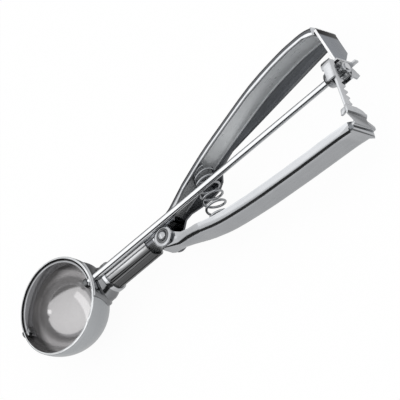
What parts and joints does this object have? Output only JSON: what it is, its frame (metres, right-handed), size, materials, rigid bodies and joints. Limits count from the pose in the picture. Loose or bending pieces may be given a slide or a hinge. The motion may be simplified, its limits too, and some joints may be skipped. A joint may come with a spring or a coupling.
{
  "type": "ice cream scoop",
  "caption": "Stainless steel squeeze-handle ice cream scoop with a 50 mm bowl, a rack-and-pinion sweeping scraper, a coil return spring and two channel handles.",
  "frame": {"origin": "on the flat face of the bowl's rim, at its far side, in line with the scraper's rod", "axes": "+X along the scraper's rod towards the free ends of the handles, +Y towards the fixed handle, +Z out of the bowl's mouth"},
  "size_m": [0.2384, 0.0669, 0.0347],
  "materials": {
    "brushed_steel": "brushed",
    "polished_steel": "polished",
    "satin_steel": "satin",
    "spring_steel": "polished"
  },
  "bodies": {
    "frame": {"bowl": "brushed_steel", "neck_saddle": "brushed_steel", "neck_collar": "polished_steel", "shank_tube": "polished_steel", "fixed_handle": "polished_steel", "pivot_rivet": "polished_steel", "pivot_washer": "polished_steel", "guide_strip": "satin_steel", "gear_cage": "satin_steel", "rod_nose": "satin_steel"},
    "lever": {"moving_handle": "polished_steel", "rack_plate": "satin_steel", "rack_foot": "satin_steel", "rack_stop": "satin_steel", "return_spring": "spring_steel"},
    "scraper": {"scraper_rod": "polished_steel", "scraper_hub": "polished_steel", "scraper_blade": "brushed_steel", "scraper_end_pin": "polished_steel", "scraper_end_boss": "polished_steel", "pinion": "satin_steel", "rod_washer": "polished_steel"}
  },
  "joints": [
    {"name": "lever_hinge", "type": "hinge", "parent": "frame", "child": "lever", "pos_m": [0.0963, -0.0056, -0.0108], "axis": [0, 0, 1], "range_deg": [0, 5.3], "stiffness_Nm_per_rad": 3, "deforming": ["return_spring"]},
    {"name": "scraper_turn", "type": "hinge", "parent": "frame", "child": "scraper", "pos_m": [0.0245, 0, -0.0022], "axis": [1, 0, 0], "range_deg": [-177.5, 0]}
  ],
  "couplings": [
    {"joint": "scraper_turn", "follows": "lever_hinge", "ratio": -33.4}
  ]
}
